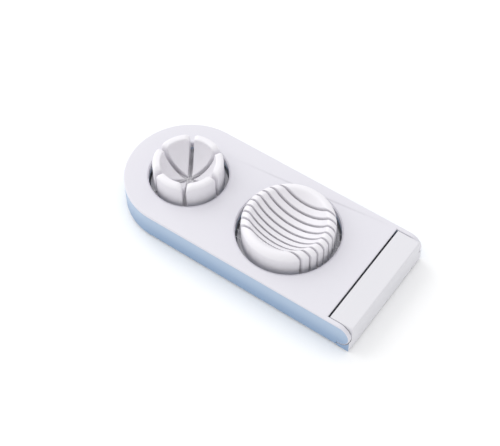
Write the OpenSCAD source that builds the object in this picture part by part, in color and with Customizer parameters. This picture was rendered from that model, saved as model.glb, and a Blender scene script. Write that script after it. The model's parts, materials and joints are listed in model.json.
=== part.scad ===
// Two-in-one egg slicer. A hinged lid strung with steel wires closes over a round slicing
// cradle and a smaller wedging cradle, and the wires drop into the slots of both.
// Millimetres, +Z up, +X towards the hinge, origin on the table below the middle of the body.

/* [Body] */
// Length from the rounded end to the hinge end
body_l = 206; // [202:1:212]
// Width, which is also the diameter of the rounded end
body_w = 90; // [90:1:96]
// Height of the closed lid's top face above the table
lid_top_h = 23; // [23:0.5:25]
// Thickness of the lid's side walls and hinge arms
wall_t = 3.2; // [3:0.1:3.6]
// Thickness of the lid's cover plate
cover_t = 2.6; // [2.2:0.1:2.8]
// Height of the lid's lower rim above the table
skirt_h = 1.6; // [1.4:0.1:2.5]

/* [Hinge] */
// Height of the hinge axis above the table
pivot_h = 13.5; // [13.3:0.1:13.7]
// Radius of the round ends of the hinge arms
lobe_r = 9.5; // [9:0.1:9.5]
// Radius of a hinge pin
pin_r = 2; // [1.5:0.1:2.4]
// Distance from the hinge axis to the middle of the cross gap in front of the hinge block
gap_reach = 8.35; // [8.2:0.05:8.6]
// Width of the cross gap
gap_w = 1.2; // [1.2:0.1:1.4]

/* [Slicing cradle] */
// Distance of the cradle's centre from the middle of the body
slice_x = 25.5; // [24:0.5:27]
// Outer radius of the cradle
slice_r = 32; // [31:0.5:32.5]
// Radius of the hole in the lid round it
slice_hole_r = 36; // [35.5:0.5:36.5]
// Height of its top above the table
slice_top_h = 35; // [33:0.5:36]
// Radius of its rounded outer shoulder
slice_shoulder_r = 4.5; // [3:0.5:5]
// Height of the lowest point of its bowl
slice_bowl_h = 21; // [20.5:0.5:24]
// Radius of the bowl's mouth
slice_mouth_r = 26; // [23:0.5:26.5]
// Distance from one wire to the next
slice_pitch = 5.2; // [4.8:0.05:5.6]
// Width of a slicing slot
slice_slot_w = 1.4; // [1.2:0.1:1.8]

/* [Wedging cradle] */
// Distance of its centre from the middle of the body, towards the rounded end
wedge_reach = 58; // [57:0.5:59]
// Outer radius of the cradle
wedge_r = 24.5; // [24:0.5:25]
// Radius of the hole in the lid round it
wedge_hole_r = 28; // [28:0.5:28.5]
// Height of the tips of its petals above the table
wedge_top_h = 37.5; // [36:0.5:39]
// Radius of its bowl's mouth
wedge_mouth_r = 19; // [18.5:0.5:20]
// Depth of its bowl, a little more than the radius of its mouth
wedge_bowl_depth = 21.3; // [20.5:0.1:21.5]
// Width of a slot between two petals
wedge_slot_w = 2.8; // [2.8:0.1:3.4]

/* [Wires] */
// Radius of a wire
wire_r = 0.3; // [0.25:0.05:0.35]
// Height of the lowest wires above the table
wire_h = 16; // [15.9:0.1:16.2]

/* [Hidden] */
$fn = 96;
cut = 1;                                       // how far a cutting shape runs past a surface

// Plan
end_x = body_l / 2;
half_w = body_w / 2;
round_x = half_w - end_x;                      // centre of the rounded end
pivot_x = end_x - lobe_r;
lid_edge_x = pivot_x - gap_reach - gap_w / 2;
block_x = pivot_x - gap_reach + gap_w / 2;
wedge_x = -wedge_reach;

// Lid layers
seam_h = lid_top_h - cover_t;                  // where the cover sits on the frame
web_t = 2.4;
web_h = wire_h - wire_r - 0.1;                 // underside of the frame's inner plate
web_top_h = web_h + web_t;
collar_t = 2;
side_gap = 0.3;
arm_in = half_w - wall_t;                      // inner face of a hinge arm
block_half = arm_in - side_gap;
block_edge_r = 1;
sweep_r = 12.3;                                // the lid's rear edge keeps this far from the hinge axis

// Base
floor_h = 1;
floor_t = 2.4;
floor_top_h = floor_h + floor_t;
tray_inset = wall_t + 0.5;
tray_wall_t = 2;
tray_wall_h = 13;
rim_w = 1.5;
rim_h = 2;
rim_gap = 0.1;
lug_gap = 0.4;
block_wall_t = 2.5;
rib_t = 2;
rib_count = 3;
pin_seat = 12;
pin_reach = 2.2;
pin_clearance = 0.05;

// Cradles
plinth_reach = 3;
plinth_h = 12.8;
slot_floor_h = 13.2;
skin_t = 3;
cavity_top_h = slot_floor_h - skin_t;
slice_bowl_depth = slice_top_h - slice_bowl_h;
slice_bowl_r = (pow(slice_mouth_r, 2) + pow(slice_bowl_depth, 2)) / (2 * slice_bowl_depth);
wedge_tip_r = 2.6;
wedge_bowl_h = wedge_top_h + 0.3;              // height at which the wedging bowl's wall is upright
wedge_bowl_lean = (pow(wedge_bowl_depth, 2) - pow(wedge_mouth_r, 2)) / (2 * wedge_mouth_r);

// Fasteners and feet
screw_r = 1.4;
screw_head_r = 2.6;
screw_head_h = 1.2;
screw_boss_r = 3;
cradle_screw_depth = 6;
cradle_screw_count = 3;
slice_screw_ring = 22;
wedge_screw_ring = 14;
lid_screw_r = 1.2;
lid_screw_head_r = 2.3;
lid_screw_bite = 1;                            // how far a lid screw enters the cover plate
lid_screw_places = [[74, 34], [-12, 35], [-92, 12]];
foot_r = 6;
foot_seat = 0.8;
foot_hinge_place = [76, 31];
foot_front_place = [-70, 27];

// Wires
slice_wires = 9;
wedge_wires = 3;                               // each crosses the whole cradle
knob_r = 1.1;
knob_l = 1.8;
knob_gap = 0.1;
anchor_l = 3;                                  // length of wire held in the lid at each end
wire_stack = 2 * wire_r + 0.02;                // height from one crossing wire to the next
wedge_wire_lead = 0.95;                        // the wires sit back so their arc stays in the slots

// A plate with the body's outline, pulled in all round by inset, from the rounded end to x_end
module body_plate(inset, x_end, z_low, z_high) {
    r = half_w - inset;
    translate([0, 0, z_low]) linear_extrude(z_high - z_low) union() {
        translate([round_x, 0]) circle(r, $fn = 180);
        translate([round_x, -r]) square([x_end - round_x, 2 * r]);
    }
}

// A round bar along Y, centred on the hinge axis
module hinge_bar(r, y_low, y_high) {
    translate([pivot_x, y_high, pivot_h]) rotate([90, 0, 0]) cylinder(h = y_high - y_low, r = r);
}

// The child on both sides of the body
module both_sides() {
    children();
    mirror([0, 1, 0]) children();
}

// A countersunk screw pointing up, with its head's face at the origin
module screw(r, head_r, head_h, length) {
    cylinder(h = head_h, r1 = head_r, r2 = r, $fn = 32);
    cylinder(h = length, r = r, $fn = 32);
}

// The child at each of a cradle's screw places
module screw_ring(x, ring_r) {
    for (i = [0 : cradle_screw_count - 1])
        translate([x, 0, 0]) rotate([0, 0, 30 + i * 360 / cradle_screw_count])
            translate([ring_r, 0, 0]) children();
}

// The child at each of the lid's screw places
module lid_screw_ring() {
    for (place = lid_screw_places)
        both_sides() translate([place[0], place[1], web_h]) children();
}

// Everything of the lid that would strike the hinge block as the lid turns
module rear_clearance() {
    hinge_bar(sweep_r, -arm_in, arm_in);
    translate([lid_edge_x, -arm_in, 0]) cube([body_l, 2 * arm_in, 2 * lid_top_h]);
}

// ---- Base ----

module hinge_block() {
    translate([0, block_half, 0]) rotate([90, 0, 0]) linear_extrude(2 * block_half) union() {
        translate([block_x, floor_h])
            square([end_x - block_x, lid_top_h - block_edge_r - floor_h]);
        translate([block_x + block_edge_r, floor_h])
            square([end_x - block_x - block_edge_r, lid_top_h - floor_h]);
        translate([block_x + block_edge_r, lid_top_h - block_edge_r]) circle(block_edge_r, $fn = 48);
    }
}

// The hollows under the hinge block, between the two solid ends that hold the pins
module block_pockets() {
    pocket_half = block_half - pin_seat - block_wall_t;
    cell = (2 * pocket_half - rib_count * rib_t) / (rib_count + 1);
    for (i = [0 : rib_count])
        translate([block_x + block_wall_t, -pocket_half + i * (cell + rib_t), floor_h - cut])
            cube([end_x - block_x - 2 * block_wall_t, cell, lid_top_h - block_wall_t - floor_h + cut]);
}

module corner_lug() {
    difference() {
        translate([pivot_x + lug_gap, block_half - cut, floor_h])
            cube([lobe_r - lug_gap, half_w - block_half + cut, pivot_h - floor_h]);
        hinge_bar(lobe_r + lug_gap, block_half, half_w + cut);
    }
}

module tray_shell() {
    difference() {
        body_plate(tray_inset, block_x + cut, floor_h, tray_wall_h);
        body_plate(tray_inset + tray_wall_t, block_x, floor_top_h, tray_wall_h + cut);
    }
    cradle_rim(slice_x, slice_r + plinth_reach);
    cradle_rim(wedge_x, wedge_r + plinth_reach);
}

module cradle_rim(x, r) {
    translate([x, 0, floor_top_h - cut]) difference() {
        cylinder(h = rim_h + cut, r = r + rim_gap + rim_w);
        cylinder(h = rim_h + 2 * cut, r = r + rim_gap);
    }
}

module base_tray() {
    color([0.90, 0.90, 0.92]) difference() {
        union() {
            tray_shell();
            difference() {
                hinge_block();
                block_pockets();
            }
            both_sides() corner_lug();
        }
        both_sides() hinge_bar(pin_r, block_half - pin_seat, half_w);
        screw_ring(slice_x, slice_screw_ring) cradle_screw_hole();
        screw_ring(wedge_x, wedge_screw_ring) cradle_screw_hole();
        for (place = [foot_hinge_place, foot_front_place])
            both_sides() translate([place[0], place[1], 0]) cylinder(h = floor_h + foot_seat, r = foot_r);
    }
}

module cradle_screw_hole() {
    translate([0, 0, floor_h]) screw(screw_r, screw_head_r, screw_head_h, floor_t + cut);
    cylinder(h = floor_h, r = screw_head_r, $fn = 32);
}

// The hollow under a cradle, with its screw bosses left standing
module cradle_cavity(x, r, ring_r) {
    difference() {
        translate([x, 0, floor_top_h - cut]) cylinder(h = cavity_top_h - floor_top_h + cut, r = r);
        screw_ring(x, ring_r) cylinder(h = cavity_top_h + cut, r = screw_boss_r, $fn = 32);
    }
    screw_ring(x, ring_r) cylinder(h = floor_top_h + cradle_screw_depth, r = screw_r, $fn = 32);
}

// A round body with a rounded outer top edge, on a wider plinth
module rounded_puck(x, r, top_h, edge_r) {
    translate([x, 0, 0]) rotate_extrude($fn = 180) union() {
        translate([0, floor_top_h]) square([r + plinth_reach, plinth_h - floor_top_h]);
        translate([0, floor_top_h]) square([r, top_h - edge_r - floor_top_h]);
        translate([0, floor_top_h]) square([r - edge_r, top_h - floor_top_h]);
        translate([r - edge_r, top_h - edge_r]) circle(edge_r);
    }
}

module slicing_cradle() {
    color([0.88, 0.87, 0.90]) difference() {
        rounded_puck(slice_x, slice_r, slice_top_h, slice_shoulder_r);
        translate([slice_x, 0, slice_bowl_h + slice_bowl_r]) sphere(slice_bowl_r, $fn = 180);
        for (i = [1 : slice_wires])
            translate([slice_x - slice_r - cut, slice_wire_y(i) - slice_slot_w / 2, slot_floor_h])
                cube([2 * (slice_r + cut), slice_slot_w, slice_top_h]);
        cradle_cavity(slice_x, slice_r - skin_t, slice_screw_ring);
    }
}

module wedging_cradle() {
    color([0.88, 0.87, 0.90]) difference() {
        rounded_puck(wedge_x, wedge_r, wedge_top_h, wedge_tip_r);
        wedging_bowl();
        for (i = [1 : wedge_wires])
            translate([wedge_x, 0, slot_floor_h]) rotate([0, 0, wedge_turn(i)])
                translate([-wedge_r - cut, -wedge_slot_w / 2, 0])
                    cube([2 * (wedge_r + cut), wedge_slot_w, wedge_top_h]);
        cradle_cavity(wedge_x, wedge_r - skin_t, wedge_screw_ring);
    }
}

// The egg-shaped hollow of the wedging cradle, deeper than it is wide
module wedging_bowl() {
    translate([wedge_x, 0, wedge_bowl_h]) rotate_extrude($fn = 180) intersection() {
        translate([-wedge_bowl_lean, 0]) circle(wedge_mouth_r + wedge_bowl_lean, $fn = 180);
        translate([0, -wedge_bowl_depth - cut]) square(wedge_bowl_depth + 2 * cut);
    }
}

module cradle_screws() {
    color([0.70, 0.70, 0.72]) {
        screw_ring(slice_x, slice_screw_ring) cradle_screw();
        screw_ring(wedge_x, wedge_screw_ring) cradle_screw();
    }
}

module cradle_screw() {
    translate([0, 0, floor_h]) screw(screw_r, screw_head_r, screw_head_h, floor_t + cradle_screw_depth);
}

module foot(place, side) {
    color([0.80, 0.80, 0.82]) translate([place[0], side * place[1], 0])
        cylinder(h = floor_h + foot_seat, r = foot_r);
}

module hinge_pin(side) {
    color([0.75, 0.75, 0.77])
        if (side > 0) hinge_bar(pin_r, block_half - pin_seat, block_half + side_gap + pin_reach);
        else mirror([0, 1, 0]) hinge_bar(pin_r, block_half - pin_seat, block_half + side_gap + pin_reach);
}

// ---- Lid ----

module lid_frame() {
    color([0.68, 0.80, 0.88]) difference() {
        union() {
            difference() {
                body_plate(0, pivot_x, skirt_h, seam_h);
                body_plate(wall_t, end_x, skirt_h - cut, web_h);
                body_plate(wall_t, end_x, web_top_h, seam_h + cut);
            }
            both_sides() intersection() {
                hinge_bar(lobe_r, arm_in, half_w);
                translate([pivot_x, arm_in, 0]) cube([lobe_r, wall_t, lid_top_h]);
            }
        }
        rear_clearance();
        lid_hole(slice_x, slice_hole_r);
        lid_hole(wedge_x, wedge_hole_r);
        both_sides() hinge_bar(pin_r + pin_clearance, 0, arm_in + pin_reach + side_gap);
        for (i = [1 : slice_wires]) slice_wire_seat(i);
        for (i = [1 : wedge_wires]) wedge_wire_seat(i);
        lid_screw_ring() screw(lid_screw_r, lid_screw_head_r, screw_head_h, web_t + cut);
    }
}

module lid_cover() {
    boss_h = seam_h - web_top_h;
    color([0.93, 0.93, 0.95]) difference() {
        union() {
            body_plate(0, pivot_x, seam_h, lid_top_h);
            translate([slice_x, 0, web_top_h]) cylinder(h = boss_h + cut, r = slice_hole_r + collar_t);
            translate([wedge_x, 0, web_top_h]) cylinder(h = boss_h + cut, r = wedge_hole_r + collar_t);
            for (place = lid_screw_places)
                both_sides() translate([place[0], place[1], web_top_h])
                    cylinder(h = boss_h + cut, r = screw_boss_r, $fn = 32);
        }
        rear_clearance();
        lid_hole(slice_x, slice_hole_r);
        lid_hole(wedge_x, wedge_hole_r);
        lid_screw_ring() cylinder(h = lid_screw_length(), r = lid_screw_r, $fn = 32);
    }
}

module lid_hole(x, r) {
    translate([x, 0, 0]) cylinder(h = 2 * lid_top_h, r = r, $fn = 180);
}

module lid_screws() {
    color([0.70, 0.70, 0.72])
        lid_screw_ring() screw(lid_screw_r, lid_screw_head_r, screw_head_h, lid_screw_length());
}

function lid_screw_length() = seam_h - web_h + lid_screw_bite;

// ---- Wires ----

function slice_wire_y(i) = ((slice_wires + 1) / 2 - i) * slice_pitch;
function slice_wire_reach(i) = sqrt(pow(slice_hole_r, 2) - pow(slice_wire_y(i), 2)) + anchor_l;
function wedge_turn(i) = (i - 1) * 180 / wedge_wires;
function wedge_wire_reach() = wedge_hole_r + anchor_l;

// A wire along X, centred on the origin, with a crimped knob on each end
module wire(reach) {
    translate([-reach, 0, 0]) rotate([0, 90, 0]) cylinder(h = 2 * reach, r = wire_r, $fn = 24);
    for (side = [-1, 1])
        translate([side * (reach + knob_l / 2), 0, 0]) rotate([0, 90, 0])
            cylinder(h = knob_l, r = knob_r, center = true, $fn = 32);
}

// The groove and the two pockets that a wire lies in, open to the underside of the lid
module wire_seat(reach) {
    depth = web_h - wire_h - cut;
    translate([-reach, -wire_r, depth]) cube([2 * reach, 2 * wire_r, wire_r - depth]);
    for (side = [-1, 1])
        translate([side * (reach + knob_l / 2), 0, (depth + knob_r) / 2])
            cube([knob_l, 2 * (knob_r + knob_gap), knob_r - depth], center = true);
}

module slice_wire(i) {
    color([0.78, 0.78, 0.80]) at_slice_wire(i) wire(slice_wire_reach(i));
}

module slice_wire_seat(i) {
    at_slice_wire(i) wire_seat(slice_wire_reach(i));
}

module at_slice_wire(i) {
    translate([slice_x, slice_wire_y(i), wire_h]) children();
}

module wedge_wire(i) {
    color([0.78, 0.78, 0.80]) at_wedge_wire(i) wire(wedge_wire_reach());
}

module wedge_wire_seat(i) {
    at_wedge_wire(i) wire_seat(wedge_wire_reach());
}

module at_wedge_wire(i) {
    translate([wedge_x - wedge_wire_lead, 0, wire_h + (i - 1) * wire_stack])
        rotate([0, 0, wedge_turn(i)]) children();
}

base_tray();
slicing_cradle();
wedging_cradle();
cradle_screws();
foot(foot_hinge_place, 1);  // foot_hinge_left
foot(foot_hinge_place, -1);  // foot_hinge_right
foot(foot_front_place, 1);  // foot_front_left
foot(foot_front_place, -1);  // foot_front_right
hinge_pin(1);  // hinge_pin_left
hinge_pin(-1);  // hinge_pin_right
lid_frame();
lid_cover();
lid_screws();
slice_wire(1);  // slice_wire_1
slice_wire(2);  // slice_wire_2
slice_wire(3);  // slice_wire_3
slice_wire(4);  // slice_wire_4
slice_wire(5);  // slice_wire_5
slice_wire(6);  // slice_wire_6
slice_wire(7);  // slice_wire_7
slice_wire(8);  // slice_wire_8
slice_wire(9);  // slice_wire_9
wedge_wire(1);  // wedge_wire_1
wedge_wire(2);  // wedge_wire_2
wedge_wire(3);  // wedge_wire_3
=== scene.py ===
"""Two-in-one egg slicer: a blue lid frame with a white cover and steel wires, hinged to a white
base that carries a slotted slicing cradle and a six-petalled wedging cradle. Metres, +Z up."""

import json
import math

import bmesh
import bpy
from mathutils import Matrix, Vector


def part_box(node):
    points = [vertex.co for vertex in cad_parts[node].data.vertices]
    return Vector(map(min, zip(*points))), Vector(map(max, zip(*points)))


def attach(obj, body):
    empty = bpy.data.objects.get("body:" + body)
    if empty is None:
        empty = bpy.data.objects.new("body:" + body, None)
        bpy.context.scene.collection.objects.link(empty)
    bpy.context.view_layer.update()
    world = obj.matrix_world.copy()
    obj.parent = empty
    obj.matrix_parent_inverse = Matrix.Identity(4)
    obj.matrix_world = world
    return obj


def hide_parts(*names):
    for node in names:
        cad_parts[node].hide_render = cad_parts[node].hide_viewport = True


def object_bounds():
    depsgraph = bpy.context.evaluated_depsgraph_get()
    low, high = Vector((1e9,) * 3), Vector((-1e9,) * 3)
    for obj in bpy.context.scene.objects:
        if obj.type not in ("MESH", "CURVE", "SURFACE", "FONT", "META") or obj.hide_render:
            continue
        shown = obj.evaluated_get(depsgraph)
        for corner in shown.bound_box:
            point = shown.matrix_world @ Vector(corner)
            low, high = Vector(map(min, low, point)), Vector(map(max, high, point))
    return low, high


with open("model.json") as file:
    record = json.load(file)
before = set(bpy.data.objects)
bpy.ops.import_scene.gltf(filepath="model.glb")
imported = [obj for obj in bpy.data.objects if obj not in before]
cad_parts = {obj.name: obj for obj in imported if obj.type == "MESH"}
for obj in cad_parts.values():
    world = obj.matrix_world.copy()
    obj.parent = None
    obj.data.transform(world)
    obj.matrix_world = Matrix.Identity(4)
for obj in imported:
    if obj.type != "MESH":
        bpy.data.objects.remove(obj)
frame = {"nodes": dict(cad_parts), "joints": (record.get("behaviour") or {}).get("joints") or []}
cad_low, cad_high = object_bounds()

MM = 0.001


# ---- Sizes ----

cover_low, cover_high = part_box("lid_cover")
slice_low, slice_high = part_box("slicing_cradle")
wedge_low, wedge_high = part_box("wedging_cradle")
HINGE = Vector(frame["joints"][0]["pos_m"])

HALF_W = cad_high.y
END_X = cad_high.x
ROUND_X = cad_low.x + HALF_W                    # centre of the rounded end
LID_TOP = cover_high.z
SEAM = LID_TOP - 2.6 * MM                       # where the cover sits on the frame
SEAM_RISE = 1.4 * MM                            # how far the seam climbs from the round end to the hinge
SEAM_BEVEL = 0.15 * MM
SKIRT_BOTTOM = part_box("lid_frame")[0].z
WEB_TOP = cover_low.z
WEB_BOTTOM = WEB_TOP - 2.4 * MM
COVER_EDGE_R = 0.7 * MM
MOULDED_EDGE_R = 0.6 * MM                       # edges of the skirt, the tray and the cradles' plinths
COLLAR_T = 2 * MM                               # wall of the cover's collars round its holes
WALL_T = 3.2 * MM
ARM_IN = HALF_W - WALL_T
LOBE_R = END_X - HINGE.x
LOBE_RIM = 0.7 * MM                             # the white rim left round the blue cheek of painted shade on the end of an arm
LID_EDGE = HINGE.x - 8.95 * MM                  # the lid's rear edge, in front of the cross gap
SWEEP_R = 12.3 * MM                             # nothing of the lid between its arms is nearer the hinge
BLOCK_X = HINGE.x - 7.75 * MM
BLOCK_HALF = ARM_IN - 0.3 * MM
BLOCK_EDGE_R = 0.9 * MM
FLOOR_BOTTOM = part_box("base_tray")[0].z
FLOOR_TOP = slice_low.z
TRAY_INSET = WALL_T + 0.5 * MM
TRAY_WALL_T = 2 * MM
TRAY_WALL_TOP = 13 * MM
LUG_GAP = 0.4 * MM
# thickness of the blue sheet of painted shade on each white lug's outer face
LUG_SHADE_SHEET_T = 0.25 * MM

PLINTH_REACH = 3 * MM
PLINTH_TOP = 12.8 * MM

SLICE_X = (slice_low.x + slice_high.x) / 2
SLICE_R = slice_high.y - PLINTH_REACH
SLICE_TOP = slice_high.z
SLICE_HOLE_R = SLICE_R + 4 * MM
SLICE_SHOULDER_R = 4.5 * MM
SLICE_BOWL_BOTTOM = 21 * MM
SLICE_MOUTH_R = 26 * MM
SLOT_W = 1.4 * MM
SLOT_FLOOR = 13.2 * MM
SLOT_EDGE_R = 0.45 * MM
BELOW_SLOTS = SLOT_FLOOR - 1 * MM               # ribs and petals run down into the foot of their cradle

WEDGE_X = (wedge_low.x + wedge_high.x) / 2
WEDGE_R = wedge_high.y - PLINTH_REACH
WEDGE_TOP = wedge_high.z
WEDGE_HOLE_R = WEDGE_R + 3.5 * MM
WEDGE_MOUTH_R = 19 * MM
WEDGE_BOWL_DEPTH = 21.3 * MM
WEDGE_BOWL_LEAN = (WEDGE_BOWL_DEPTH ** 2 - WEDGE_MOUTH_R ** 2) / (2 * WEDGE_MOUTH_R)
WEDGE_BOWL_R = WEDGE_MOUTH_R + WEDGE_BOWL_LEAN
WEDGE_SLOT_W = 2.8 * MM
WEDGE_TIP_R = 2.6 * MM
PETALS = 6
PETAL_TIP_R = 3.1 * MM
PETAL_EDGE_R = 1.0 * MM
PETAL_CORNER_R = 3.5 * MM
MOUTH_EDGE_R = 1.2 * MM
BOWL_MIDDLE = WEDGE_TOP - WEDGE_BOWL_DEPTH / 2

END_STEPS = 96                                  # round the body's rounded end
RING_STEPS = 128                                # round a cradle or a hole

SLICE_WIRES = [n for n in sorted(frame["nodes"]) if n.startswith("slice_wire")]


# ---- Modelling helpers ----

def edge_loop(bm, points, closed=True):
    """A chain of edges through the points."""
    verts = [bm.verts.new(p) for p in points]
    pairs = list(zip(verts, verts[1:]))
    if closed:
        pairs.append((verts[-1], verts[0]))
    return [bm.edges.new(pair) for pair in pairs]


def skin(bm, loops):
    """Walls between each loop and the next; two at one height are held apart while they're joined."""
    for lower, upper in zip(loops, loops[1:]):
        moved = list({v for e in upper for v in e.verts})
        level = len({round(v.co.z, 7) for e in lower + upper for v in e.verts}) == 1
        lift = Vector((0, 0, MM if level else 0))
        bmesh.ops.translate(bm, vec=lift, verts=moved)
        bmesh.ops.bridge_loops(bm, edges=lower + upper)
        bmesh.ops.translate(bm, vec=-lift, verts=moved)


def cap(bm, *loops):
    """A flat face inside the first loop, with the other loops as holes in it."""
    bmesh.ops.triangle_fill(bm, use_beauty=True, use_dissolve=True, edges=sum(loops, []))


def quarter(radius, steps=4):
    """How far in and how far down a rounded edge is, from its side to its top."""
    for i in range(steps + 1):
        turn = math.radians(90 * i / steps)
        yield radius * (1 - math.cos(turn)), radius * (1 - math.sin(turn))


def arc(centre_x, centre_y, radius, start, stop, steps):
    """Points along an arc in plan, from start to stop degrees."""
    for i in range(steps + 1):
        turn = math.radians(start + (stop - start) * i / steps)
        yield centre_x + radius * math.cos(turn), centre_y + radius * math.sin(turn)


def circle(x, radius, z, steps=RING_STEPS):
    return [Vector((px, py, z)) for px, py in arc(x, 0, radius, 0, 360 * (1 - 1 / steps), steps - 1)]


def turned(bm, profile, x):
    """A profile of (distance from the axis, height) spun round an upright axis at x."""
    base = Vector((x, 0, 0))
    axis = Vector((0, 0, 1))
    side = axis.orthogonal().normalized()
    edges = edge_loop(bm, [base + side * r + axis * h for r, h in profile], closed=False)
    verts = {v for e in edges for v in e.verts}
    bmesh.ops.spin(bm, geom=list(verts) + edges, cent=base, axis=axis, angle=math.tau, steps=RING_STEPS,
                   use_merge=True)


def solid(bm, loops):
    """Walls from the first loop to the last, closed at both."""
    skin(bm, loops)
    cap(bm, loops[0])
    cap(bm, loops[-1])


def finish(bm, name, material, body, stands_for, crease=38):
    """Makes the mesh an object that rides on its body and stands for its CAD nodes."""
    bmesh.ops.remove_doubles(bm, verts=bm.verts, dist=0.002 * MM)
    bmesh.ops.recalc_face_normals(bm, faces=bm.faces)
    mesh = bpy.data.meshes.new(name)
    bm.to_mesh(mesh)
    bm.free()
    mesh.shade_smooth()
    mesh.set_sharp_from_angle(angle=math.radians(crease))
    piece = bpy.data.objects.new(name, mesh)
    bpy.context.scene.collection.objects.link(piece)
    piece.data.materials.append(material)
    smoother = piece.modifiers.new("flat_faces_stay_flat", "WEIGHTED_NORMAL")
    smoother.keep_sharp = True
    smoother.weight = 100
    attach(piece, body)
    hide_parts(*stands_for)


# ---- Finishes ----

class Value:
    """A number that varies over a surface: a node's output, with arithmetic."""

    def __init__(self, finish_, output):
        self.finish = finish_
        self.output = output

    def _math(self, operation, first, second):
        return self.finish.node("ShaderNodeMath", {"operation": operation}, {0: first, 1: second})

    def __add__(self, other):
        return self._math("ADD", self, other)

    __radd__ = __add__

    def __sub__(self, other):
        return self._math("SUBTRACT", self, other)

    def __rsub__(self, other):
        return self._math("SUBTRACT", other, self)

    def __mul__(self, other):
        return self._math("MULTIPLY", self, other)

    __rmul__ = __mul__

    def __gt__(self, other):
        return self._math("GREATER_THAN", self, other)


class Finish:
    """A material under construction."""

    def __init__(self, name):
        self.material = bpy.data.materials.new(name)
        self.material.use_nodes = True
        self.tree = self.material.node_tree
        self.shader = self.tree.nodes["Principled BSDF"]
        self.place = self.node("ShaderNodeTexCoord", output="Object")

    def node(self, kind, settings=None, inputs=None, output=0):
        """Adds a node, sets it up, feeds its sockets and gives one of its outputs."""
        made = self.tree.nodes.new(kind)
        for key, value in (settings or {}).items():
            setattr(made, key, value)
        for key, value in (inputs or {}).items():
            self.feed(made.inputs[key], value)
        return Value(self, made.outputs[output])

    def feed(self, socket, value):
        if isinstance(value, Value):
            self.tree.links.new(value.output, socket)
        else:
            socket.default_value = value

    def noise(self, scale, detail=2.0, roughness=0.5, stretch=(1, 1, 1)):
        place = self.node("ShaderNodeMapping", {}, {"Vector": self.place, "Scale": stretch})
        return self.node("ShaderNodeTexNoise", {}, {"Vector": place, "Scale": scale, "Detail": detail,
                                                   "Roughness": roughness}, output="Fac")

    def mix(self, factor, low, high):
        """A colour from low to high."""
        return self.node("ShaderNodeMix", {"data_type": "RGBA"}, {0: factor, 6: low, 7: high}, output=2)

    def bump(self, height, strength, distance):
        inputs = {"Height": height, "Strength": strength, "Distance": distance}
        return self.node("ShaderNodeBump", {}, inputs, output="Normal")

    def set(self, **values):
        """Feeds the shader's sockets, named with underscores for spaces."""
        for key, value in values.items():
            self.feed(self.shader.inputs[key.replace("_", " ").title().replace("Ior", "IOR")], value)
        return self.material


def satin(f, tone, roughness):
    """Moulded plastic of one tone, with a fine tool grain and faint rub marks."""
    grain = f.noise(2600, detail=2, roughness=0.6)
    rub = (f.noise(260, detail=4, roughness=0.7, stretch=(1, 9, 9)) > 0.66) * 0.07
    return f.set(base_color=tone, roughness=roughness + (grain - 0.5) * 0.12 + rub,
                 normal=f.bump(grain, 0.10, 0.02 * MM), ior=1.5)


def moulded_plastic(name, colour, shade, roughness):
    """Satin plastic whose tone drifts slowly between two colours."""
    f = Finish(name)
    drift = f.noise(18, detail=3)
    return satin(f, f.mix(drift, (*shade, 1), (*colour, 1)), roughness)


def plastic_with_painted_low_shade(name, colour, low_shade_colour, roughness):
    """Satin plastic whose colour deepens towards the lower rim: painted shade standing for the weaker
    light low on the side near the floor.
    """
    f = Finish(name)
    drift = f.noise(18, detail=3)
    height = f.node("ShaderNodeSeparateXYZ", {}, {"Vector": f.place}, output="Z")
    # painted shade: the colour darkens from the seam down to the skirt's lower rim
    painted_shade_fade = f.node("ShaderNodeMapRange", {"interpolation_type": "SMOOTHSTEP"},
                  {"Value": height, "From Min": SKIRT_BOTTOM, "From Max": SEAM})
    return satin(f, f.mix(painted_shade_fade * 0.9 + drift * 0.1, (*low_shade_colour, 1), (*colour, 1)), roughness)


def drawn_steel(name, colour, roughness, along):
    """Bright steel with fine draw lines along one direction."""
    f = Finish(name)
    lines = f.noise(1500, detail=2, stretch=along)
    tone = f.mix(lines, tuple(c * 0.82 for c in colour) + (1,), (*colour, 1))
    return f.set(base_color=tone, metallic=1.0, roughness=roughness + (lines - 0.5) * 0.16,
                 normal=f.bump(lines, 0.15, 0.01 * MM))


def soft_rubber(name, colour):
    """Matt rubber with a dusty grain."""
    f = Finish(name)
    dust = f.noise(900, detail=4, roughness=0.65)
    tone = f.mix(dust, tuple(c * 0.88 for c in colour) + (1,), (*colour, 1))
    return f.set(base_color=tone, roughness=0.78 + (dust - 0.5) * 0.2, normal=f.bump(dust, 0.3, 0.03 * MM))


def floor_finish():
    f = Finish("pale_floor")
    cloud = f.noise(6, detail=2)
    tone = f.mix(cloud, (0.95, 0.955, 0.96, 1), (0.97, 0.975, 0.98, 1))
    return f.set(base_color=tone, roughness=0.6)


WHITE = moulded_plastic("white_plastic", (0.70, 0.69, 0.74), (0.685, 0.675, 0.73), 0.42)
# the cradles' white is a lighter copy of the white plastic: painted light offsetting the shade in their
# slots and gaps
LIT_CRADLE_WHITE = moulded_plastic("cradle_plastic", (0.80, 0.785, 0.82), (0.785, 0.77, 0.81), 0.38)
BASE_WHITE = moulded_plastic("base_plastic", (0.70, 0.695, 0.73), (0.685, 0.68, 0.72), 0.45)
# the pale blue is the frame's own colour; the deeper blue towards the lower rim is painted shade
BLUE_WITH_PAINTED_SHADE = plastic_with_painted_low_shade("pale_blue_plastic_painted_shade", (0.40, 0.51, 0.66), (0.22, 0.33, 0.50), 0.40)
WIRE_STEEL = drawn_steel("wire_steel", (0.80, 0.80, 0.81), 0.30, (1, 14, 14))
SCREW_STEEL = drawn_steel("screw_steel", (0.60, 0.60, 0.61), 0.36, (1, 1, 8))
PIN_STEEL = drawn_steel("pin_steel", (0.62, 0.62, 0.63), 0.30, (8, 1, 8))
RUBBER = soft_rubber("pale_rubber", (0.55, 0.55, 0.56))


# ---- Lid ----

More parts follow.
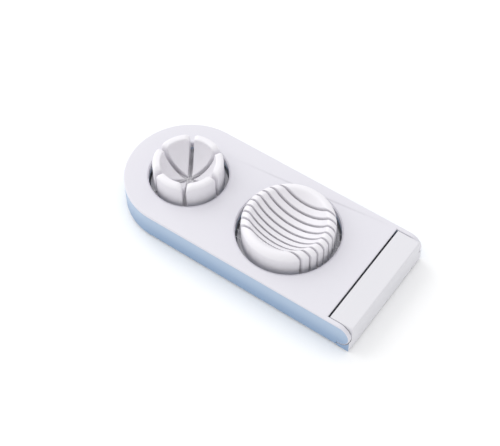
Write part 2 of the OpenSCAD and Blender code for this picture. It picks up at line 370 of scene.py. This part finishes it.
def seam(x, above=0.0):
    """Height of the seam between cover and frame at x, plus a small step above or below it."""
    return SEAM + SEAM_RISE * (x - cad_low.x) / (HINGE.x - cad_low.x) + above


def on_seam(points, above=0.0):
    return [Vector((p.x, p.y, seam(p.x, above))) for p in points]


def cover_outline(z, inset=0.0, rear=LID_EDGE):
    """The cover in plan: a rounded end, straight sides, and two arms past the rear edge."""
    half = HALF_W - inset
    inner = ARM_IN + inset
    rear -= inset
    points = [(HINGE.x, -inner), (rear, -inner), (rear, inner), (HINGE.x, inner)]
    points += [(HINGE.x, half), *arc(ROUND_X, 0, half, 90, 270, END_STEPS), (HINGE.x, -half)]
    return [Vector((x, y, z)) for x, y in points]


def hole_walls(bm, x, radius):
    """A hole's wall from the top face down through its collar and out to the cover's underside."""
    collar = radius + COLLAR_T
    rings = [circle(x, radius + inset, LID_TOP - down)
             for inset, down in ((COVER_EDGE_R - i, COVER_EDGE_R - d) for d, i in quarter(COVER_EDGE_R))]
    rings += [circle(x, radius, WEB_TOP), circle(x, collar, WEB_TOP), on_seam(circle(x, collar, SEAM))]
    loops = [edge_loop(bm, ring) for ring in rings]
    skin(bm, loops)
    return loops[0], loops[-1]


def build_lid_cover():
    """The white cover plate with a collar round each hole."""
    bm = bmesh.new()
    low_rear = HINGE.x - math.sqrt(SWEEP_R ** 2 - (SEAM - HINGE.z) ** 2)
    outlines = [on_seam(cover_outline(SEAM, SEAM_BEVEL, low_rear)),
                on_seam(cover_outline(SEAM, 0, low_rear), SEAM_BEVEL)]
    outlines += [cover_outline(LID_TOP - down, inset) for inset, down in quarter(COVER_EDGE_R)]
    loops = [edge_loop(bm, outline) for outline in outlines]
    skin(bm, loops)
    slice_top, slice_under = hole_walls(bm, SLICE_X, SLICE_HOLE_R)
    wedge_top, wedge_under = hole_walls(bm, WEDGE_X, WEDGE_HOLE_R)
    cap(bm, loops[-1], slice_top, wedge_top)
    cap(bm, loops[0], slice_under, wedge_under)
    finish(bm, "lid_cover_plate", WHITE, "lid", ["lid_cover"])


def skirt_outline(z, inset=0.0):
    """The skirt in plan: one wall round the rounded end and along both sides."""
    outer = HALF_W - inset
    inner = ARM_IN + inset
    points = [(HINGE.x, outer), *arc(ROUND_X, 0, outer, 90, 270, END_STEPS), (HINGE.x, -outer)]
    points += [(HINGE.x, -inner), *arc(ROUND_X, 0, inner, 270, 90, END_STEPS), (HINGE.x, inner)]
    return [Vector((x, y, z)) for x, y in points]


def build_lid_frame():
    """The blue skirt, the arms' cheeks of painted bluish shade and the inner plate."""
    bm = bmesh.new()
    outlines = [skirt_outline(SKIRT_BOTTOM + down, inset) for down, inset in quarter(MOULDED_EDGE_R)]
    outlines += [on_seam(skirt_outline(SEAM), -SEAM_BEVEL), on_seam(skirt_outline(SEAM, SEAM_BEVEL))]
    solid(bm, [edge_loop(bm, outline) for outline in outlines])
    for side in (-1, 1):
        hinge_arm_shade_sheet(bm, side)
    web(bm)
    finish(bm, "lid_frame_shell", BLUE_WITH_PAINTED_SHADE, "lid", ["lid_frame"])


def hinge_arm_shade_sheet(bm, side):
    """A thin blue sheet on the outer face of a hinge arm's white round end, inside the white rim: painted
    bluish shade.
    """
    reach = LOBE_R - LOBE_RIM
    bevel = 0.1 * MM
    clear = 0.01 * MM                           # keeps the cheek's flat end off the skirt's
    loops = []
    for y, inset in ((HALF_W - 1 * MM, 0), (HALF_W - bevel, 0), (HALF_W, bevel)):
        points = arc(HINGE.x + clear, HINGE.z, reach - inset, -90, 90, 60)
        top = seam(HINGE.x) - inset
        loops.append(edge_loop(bm, [Vector((x, side * y, min(z, top))) for x, z in points]))
    solid(bm, loops)


def build_hinge_arm_ends():
    """The white rounded ends of the hinge arms."""
    bm = bmesh.new()
    behind_cheek = 0.08 * MM
    for side in (-1, 1):
        steps = [(HALF_W - behind_cheek - inset, down) for inset, down in quarter(COVER_EDGE_R)]
        steps += [(ARM_IN + inset, down) for inset, down in reversed(list(quarter(COVER_EDGE_R)))]
        loops = []
        for y, drop in steps:
            points = arc(HINGE.x, HINGE.z, LOBE_R - drop, -90, 90, 40)
            loops.append(edge_loop(bm, [Vector((x, side * y, z)) for x, z in points]))
        solid(bm, loops)
    finish(bm, "hinge_arm_ends", WHITE, "lid", ["lid_frame"])


def web(bm):
    """The frame's inner plate with its two holes."""
    reach = HINGE.x - SWEEP_R
    half = ARM_IN + 0.2 * MM
    loops = []
    for z in (WEB_BOTTOM, WEB_TOP):
        plan = [(reach, half), *arc(ROUND_X, 0, half, 90, 270, END_STEPS), (reach, -half)]
        outer = edge_loop(bm, [Vector((x, y, z)) for x, y in plan])
        loops.append((outer, edge_loop(bm, circle(SLICE_X, SLICE_HOLE_R, z)),
                      edge_loop(bm, circle(WEDGE_X, WEDGE_HOLE_R, z))))
        cap(bm, *loops[-1])
    for lower, upper in zip(*loops):
        skin(bm, [lower, upper])


# ---- Base ----

def tray_outline(z, inset):
    """The tray in plan: a rounded end and straight sides up to the hinge block."""
    half = HALF_W - TRAY_INSET - inset
    end = BLOCK_X + 1 * MM - inset
    points = [(end, half), *arc(ROUND_X, 0, half, 90, 270, END_STEPS), (end, -half)]
    return [Vector((x, y, z)) for x, y in points]


def build_base_tray():
    """The tray, the hinge block with its lugs, and the rims that hold the cradles in place."""
    bm = bmesh.new()
    rounding = list(quarter(MOULDED_EDGE_R))
    outlines = [tray_outline(FLOOR_BOTTOM + down, inset) for down, inset in rounding]
    outlines += [tray_outline(TRAY_WALL_TOP - down, inset) for inset, down in rounding]
    outlines += [tray_outline(TRAY_WALL_TOP - down, TRAY_WALL_T - inset) for inset, down in rounding[::-1]]
    outlines += [tray_outline(FLOOR_TOP + down, TRAY_WALL_T + inset) for down, inset in rounding[::-1]]
    solid(bm, [edge_loop(bm, outline) for outline in outlines])
    hinge_block(bm)
    for x, radius in ((SLICE_X, SLICE_R), (WEDGE_X, WEDGE_R)):
        locating_rim(bm, x, radius + PLINTH_REACH)
    finish(bm, "base_tray_shell", BASE_WHITE, "base", ["base_tray"])


def hinge_block(bm):
    """The block across the hinge end, with a lug at each lower corner outside it."""
    made = bmesh.ops.create_cube(bm, size=1)
    size = Vector((END_X - BLOCK_X, 2 * BLOCK_HALF, LID_TOP - FLOOR_BOTTOM))
    middle = Vector(((END_X + BLOCK_X) / 2, 0, (LID_TOP + FLOOR_BOTTOM) / 2))
    bmesh.ops.scale(bm, vec=size, verts=made["verts"])
    bmesh.ops.translate(bm, vec=middle, verts=made["verts"])
    edges = {e for v in made["verts"] for e in v.link_edges}
    top = [e for e in edges if all(v.co.z > middle.z for v in e.verts)]
    bmesh.ops.bevel(bm, geom=top, offset=BLOCK_EDGE_R, offset_type="OFFSET", segments=4, profile=0.5,
                    affect="EDGES", material=-1)
    for side in (-1, 1):
        # the white lug stops short of the side, where a blue sheet of painted shade covers its outer face
        lug(bm, side, BLOCK_HALF, HALF_W - LUG_SHADE_SHEET_T, 0.02 * MM)


def lug_outline(y, inset=0.0):
    """A corner lug's side view: it fills the corner below the round end of the hinge arm."""
    gap_r = LOBE_R + LUG_GAP + inset
    low_turn = -math.degrees(math.acos((LUG_GAP + inset) / gap_r))
    high_turn = -math.degrees(math.acos((LOBE_R - inset) / gap_r))
    points = [(END_X - inset, FLOOR_BOTTOM + inset)]
    points += arc(HINGE.x, HINGE.z, gap_r, high_turn, low_turn, 24)
    points.append((HINGE.x + LUG_GAP + inset, FLOOR_BOTTOM + inset))
    return [Vector((x, y, z)) for x, z in points]


def lug(bm, side, start, stop, edge_r):
    """The part of a lug between two distances from the middle, its outer edges cut back by edge_r."""
    levels = ((start, 0), (stop - edge_r, 0), (stop, edge_r))
    solid(bm, [edge_loop(bm, lug_outline(side * y, inset)) for y, inset in levels])


def build_lug_shade_sheets():
    """Thin pale blue sheets on the white lugs' outer faces: painted bluish shade."""
    bm = bmesh.new()
    for side in (-1, 1):
        lug(bm, side, HALF_W - LUG_SHADE_SHEET_T, HALF_W, 0.08 * MM)
    finish(bm, "lug_painted_shade_sheets", BLUE_WITH_PAINTED_SHADE, "base", ["base_tray"])


def locating_rim(bm, x, radius):
    """A low ring on the tray's floor, just outside a cradle's plinth."""
    inner = radius + 0.1 * MM
    outer = inner + 1.5 * MM
    top = FLOOR_TOP + 2 * MM
    foot = FLOOR_TOP - 0.4 * MM
    bevel = 0.3 * MM
    profile = [(inner, foot), (inner, top - bevel), (inner + bevel, top), (outer - bevel, top),
               (outer, top - bevel), (outer, foot), (inner, foot)]
    turned(bm, profile, x)


# ---- Cradles ----

def slicing_surface(r, drop):
    """Height of the cradle's top at distance r from its axis, drop inside the real surface."""
    depth = SLICE_TOP - SLICE_BOWL_BOTTOM
    bowl_r = (SLICE_MOUTH_R ** 2 + depth ** 2) / (2 * depth)
    bowl = SLICE_BOWL_BOTTOM + bowl_r - math.sqrt(max((bowl_r + drop) ** 2 - r ** 2, 0))
    turn_r = SLICE_R - SLICE_SHOULDER_R
    if r > turn_r:
        fall = max((SLICE_SHOULDER_R - drop) ** 2 - (r - turn_r) ** 2, 0)
        crest = SLICE_TOP - SLICE_SHOULDER_R + math.sqrt(fall)
    else:
        crest = SLICE_TOP - drop
    soften = 1.6 * MM
    near = max(soften - abs(bowl - crest), 0) / soften
    return min(bowl, crest) - near * near * soften / 4


def rib_section(y, drop, steps=72):
    """One upright slice of the cradle at y, from its slot floor up."""
    reach = math.sqrt(max((SLICE_R - drop) ** 2 - y * y, 0))
    points = [Vector((SLICE_X - reach, y, BELOW_SLOTS))]
    for i in range(steps + 1):
        x = reach * math.sin(math.pi / 2 * (2 * i / steps - 1))
        points.append(Vector((SLICE_X + x, y, slicing_surface(math.hypot(x, y), drop))))
    points.append(Vector((SLICE_X + reach, y, BELOW_SLOTS)))
    return points


def rib(bm, low, high=None):
    """The solid between two slots, or outside the last one, with its slot edges rounded."""
    rounding = list(quarter(SLOT_EDGE_R, 3))
    levels = [(low + inset, down) for inset, down in rounding]
    if high is None:
        start = math.asin((low + SLOT_EDGE_R) / SLICE_R)
        stop = math.radians(88.5)
        steps = 12
        levels += [(SLICE_R * math.sin(start + (stop - start) * (i + 1) / steps), 0) for i in range(steps)]
    else:
        levels += [((low + high) / 2, 0)]
        levels += [(high - inset, down) for inset, down in rounding[::-1]]
    solid(bm, [edge_loop(bm, rib_section(y, drop)) for y, drop in levels])


def build_slicing_cradle():
    """The round cradle, cut through by one slot under each slicing wire."""
    bm = bmesh.new()
    wires = sorted(sum(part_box(n), Vector()).y / 2 for n in SLICE_WIRES)
    for left, right in zip(wires, wires[1:]):
        rib(bm, left + SLOT_W / 2, right - SLOT_W / 2)
    rib(bm, wires[-1] + SLOT_W / 2)
    earlier = set(bm.verts)
    rib(bm, wires[-1] + SLOT_W / 2)
    bmesh.ops.scale(bm, vec=(1, -1, 1), verts=[v for v in bm.verts if v not in earlier])
    cradle_foot(bm, SLICE_X, SLICE_R)
    finish(bm, "slicing_cradle_body", LIT_CRADLE_WHITE, "base", ["slicing_cradle"])


def cradle_foot(bm, x, radius):
    """The undivided lower part of a cradle, on its wider plinth."""
    plinth = radius + PLINTH_REACH
    profile = [(0, FLOOR_TOP), (plinth, FLOOR_TOP)]
    profile += [(plinth - inset, PLINTH_TOP - down) for inset, down in quarter(MOULDED_EDGE_R)]
    profile += [(radius, PLINTH_TOP), (radius, SLOT_FLOOR), (0, SLOT_FLOOR)]
    turned(bm, profile, x)


def petal_profile():
    """A petal's outline from its inner tip over the crest to its outer wall, as (radius, height)."""
    bowl_z = WEDGE_TOP + 0.3 * MM
    start = -90 + math.degrees(math.asin((PETAL_TIP_R + WEDGE_BOWL_LEAN) / WEDGE_BOWL_R))
    mouth_x = WEDGE_MOUTH_R + 0.97 * MOUTH_EDGE_R
    return [(PETAL_TIP_R, BELOW_SLOTS), *arc(-WEDGE_BOWL_LEAN, bowl_z, WEDGE_BOWL_R, start, -5, 40),
            *arc(mouth_x, WEDGE_TOP - MOUTH_EDGE_R, MOUTH_EDGE_R, 165, 90, 5),
            *arc(WEDGE_R - WEDGE_TIP_R, WEDGE_TOP - WEDGE_TIP_R, WEDGE_TIP_R, 90, 0, 10),
            (WEDGE_R, (BELOW_SLOTS + WEDGE_TOP) / 2), (WEDGE_R, BELOW_SLOTS)]


def petal_column(profile, middle, side, share, clear, drop):
    """The profile swung to one side of a petal's middle: share of the way to its slot, or clear of it.

    The edge rounding dies away towards the tip, and the crest is lower near the slot."""
    points = []
    for i, (r, z) in enumerate(profile):
        before = profile[max(i - 1, 0)]
        after = profile[min(i + 1, len(profile) - 1)]
        along = Vector((after[0] - before[0], after[1] - before[1])).normalized()
        room = max(0.85 * (r / 2 - WEDGE_SLOT_W / 2) / PETAL_EDGE_R, 0)
        fade = min(1, room)
        foot = i in (0, len(profile) - 1)
        limit = math.pi / PETALS - math.asin((WEDGE_SLOT_W / 2 + clear * fade) / r)
        turn = math.radians(middle) + side * limit * share
        away = r * (limit * (1 - share)) + clear * fade
        dip = max(1 - away / PETAL_CORNER_R, 0)
        near_top = min(max((z - BOWL_MIDDLE) / (8 * MM), 0), 1)
        sink = PETAL_CORNER_R * (1 - math.sqrt(1 - dip * dip)) * near_top
        r += 0 if foot else drop * fade * along.y
        z -= 0 if foot else drop * fade * along.x + sink
        points.append(Vector((WEDGE_X + r * math.cos(turn), r * math.sin(turn), z)))
    return points


def petal(bm, middle):
    """One petal round the direction middle, in degrees, with its slot edges rounded."""
    profile = petal_profile()
    columns = [(1, inset, down) for inset, down in quarter(PETAL_EDGE_R)]
    columns += [(1 - i / 8, PETAL_EDGE_R, 0) for i in range(1, 9)]
    loops = [petal_column(profile, middle, -1, *column) for column in columns]
    loops += [petal_column(profile, middle, 1, *column) for column in reversed(columns[:-1])]
    solid(bm, [edge_loop(bm, points) for points in loops])


def build_wedging_cradle():
    """Six petals on a round foot."""
    bm = bmesh.new()
    for i in range(PETALS):
        petal(bm, (i + 0.5) * 360 / PETALS)
    cradle_foot(bm, WEDGE_X, WEDGE_R)
    finish(bm, "wedging_cradle_body", LIT_CRADLE_WHITE, "base", ["wedging_cradle"])


# ---- Screws and small parts ----

def cradle_screw_places():
    """Three screws under each cradle, as the places of their heads."""
    for x, ring_r in ((SLICE_X, 22 * MM), (WEDGE_X, 14 * MM)):
        for turn in (30, 150, 270):
            turn = math.radians(turn)
            yield Vector((x + ring_r * math.cos(turn), ring_r * math.sin(turn), FLOOR_BOTTOM))


def lid_screw_places():
    """Three pairs of screws under the lid's inner plate."""
    for x, y in ((74, 34), (-12, 35), (-92, 12)):
        for side in (-1, 1):
            yield Vector((x * MM, side * y * MM, WEB_BOTTOM))


def build_screws(name, body, node, places):
    """Low-headed screws seen from below, each with a six-sided socket."""
    bm = bmesh.new()
    for place in places:
        socket = edge_loop(bm, polygon(place, 1.0, 0.75, 6))
        mouth = edge_loop(bm, polygon(place, 1.15, -0.2, 6))
        skin(bm, [socket, mouth])
        cap(bm, socket)
        rings = [(1.8, -0.2), (2.15, -0.12), (2.3, 0.05), (2.3, 0.5), (1.2, 1.4), (1.2, 2.4)]
        loops = [edge_loop(bm, polygon(place, radius, height, 48)) for radius, height in rings]
        skin(bm, loops)
        cap(bm, loops[0], mouth)
        cap(bm, loops[-1])
    finish(bm, name, SCREW_STEEL, body, [node], crease=30)


def polygon(place, radius, height, sides):
    """Corners of a level polygon over place, its radius and height in millimetres."""
    corners = arc(0, 0, radius * MM, 0, 360 * (1 - 1 / sides), sides - 1)
    return [place + Vector((x, y, height * MM)) for x, y in corners]


def dress_small_parts():
    """Finishes for the CAD parts whose shape is kept."""
    for node, part in frame["nodes"].items():
        for start, material in (("foot", RUBBER), ("hinge_pin", PIN_STEEL), ("slice_wire", WIRE_STEEL),
                                ("wedge_wire", WIRE_STEEL)):
            if node.startswith(start):
                part.data.materials.clear()
                part.data.materials.append(material)


# ---- Room ----

def build_room():
    """A pale floor under even white light."""
    bm = bmesh.new()
    bmesh.ops.create_grid(bm, x_segments=1, y_segments=1, size=4)
    mesh = bpy.data.meshes.new("floor")
    bm.to_mesh(mesh)
    bm.free()
    floor = bpy.data.objects.new("floor", mesh)
    bpy.context.scene.collection.objects.link(floor)
    mesh.materials.append(floor_finish())
    world = bpy.data.worlds.new("studio")
    bpy.context.scene.world = world
    world.use_nodes = True
    background = world.node_tree.nodes["Background"]
    background.inputs["Color"].default_value = (1.0, 1.0, 1.0, 1)
    background.inputs["Strength"].default_value = 0.98


def softbox(name, place, aim, side, power):
    """A large square lamp at place, turned to aim."""
    light = bpy.data.lights.new(name, "AREA")
    light.shape = "SQUARE"
    light.size = side
    light.energy = power
    lamp = bpy.data.objects.new(name, light)
    bpy.context.scene.collection.objects.link(lamp)
    lamp.location = place
    lamp.rotation_euler = (Vector(aim) - Vector(place)).to_track_quat("-Z", "Y").to_euler()


def build_camera():
    """Looks down on the object from its near hinge corner."""
    azimuth, elevation, roll = (math.radians(a) for a in (36.27, 53.69, -1.08))
    distance = 0.8603
    aim = Vector((0.0012, -0.0103, LID_TOP))
    back = Vector((math.sin(azimuth) * math.cos(elevation), -math.cos(azimuth) * math.cos(elevation),
                   math.sin(elevation)))
    camera = bpy.data.objects.new("camera", bpy.data.cameras.new("camera"))
    bpy.context.scene.collection.objects.link(camera)
    camera.data.sensor_width = 36
    camera.data.lens = 92.27
    camera.location = aim + back * distance
    turn = (-back).to_track_quat("-Z", "Y").to_matrix() @ Matrix.Rotation(roll, 3, "Z")
    camera.rotation_euler = turn.to_euler()
    bpy.context.scene.camera = camera


build_camera()
build_lid_cover()
build_lid_frame()
build_hinge_arm_ends()
build_base_tray()
build_lug_shade_sheets()
build_screws("cradle_screw_set", "base", "cradle_screws", cradle_screw_places())
build_screws("lid_screw_set", "lid", "lid_screws", lid_screw_places())
build_slicing_cradle()
build_wedging_cradle()
dress_small_parts()
build_room()
softbox("key", (-1.9, 0.1, 1.5), (0, 0, 0), 2.6, 26)
bpy.context.scene.view_settings.view_transform = "Standard"
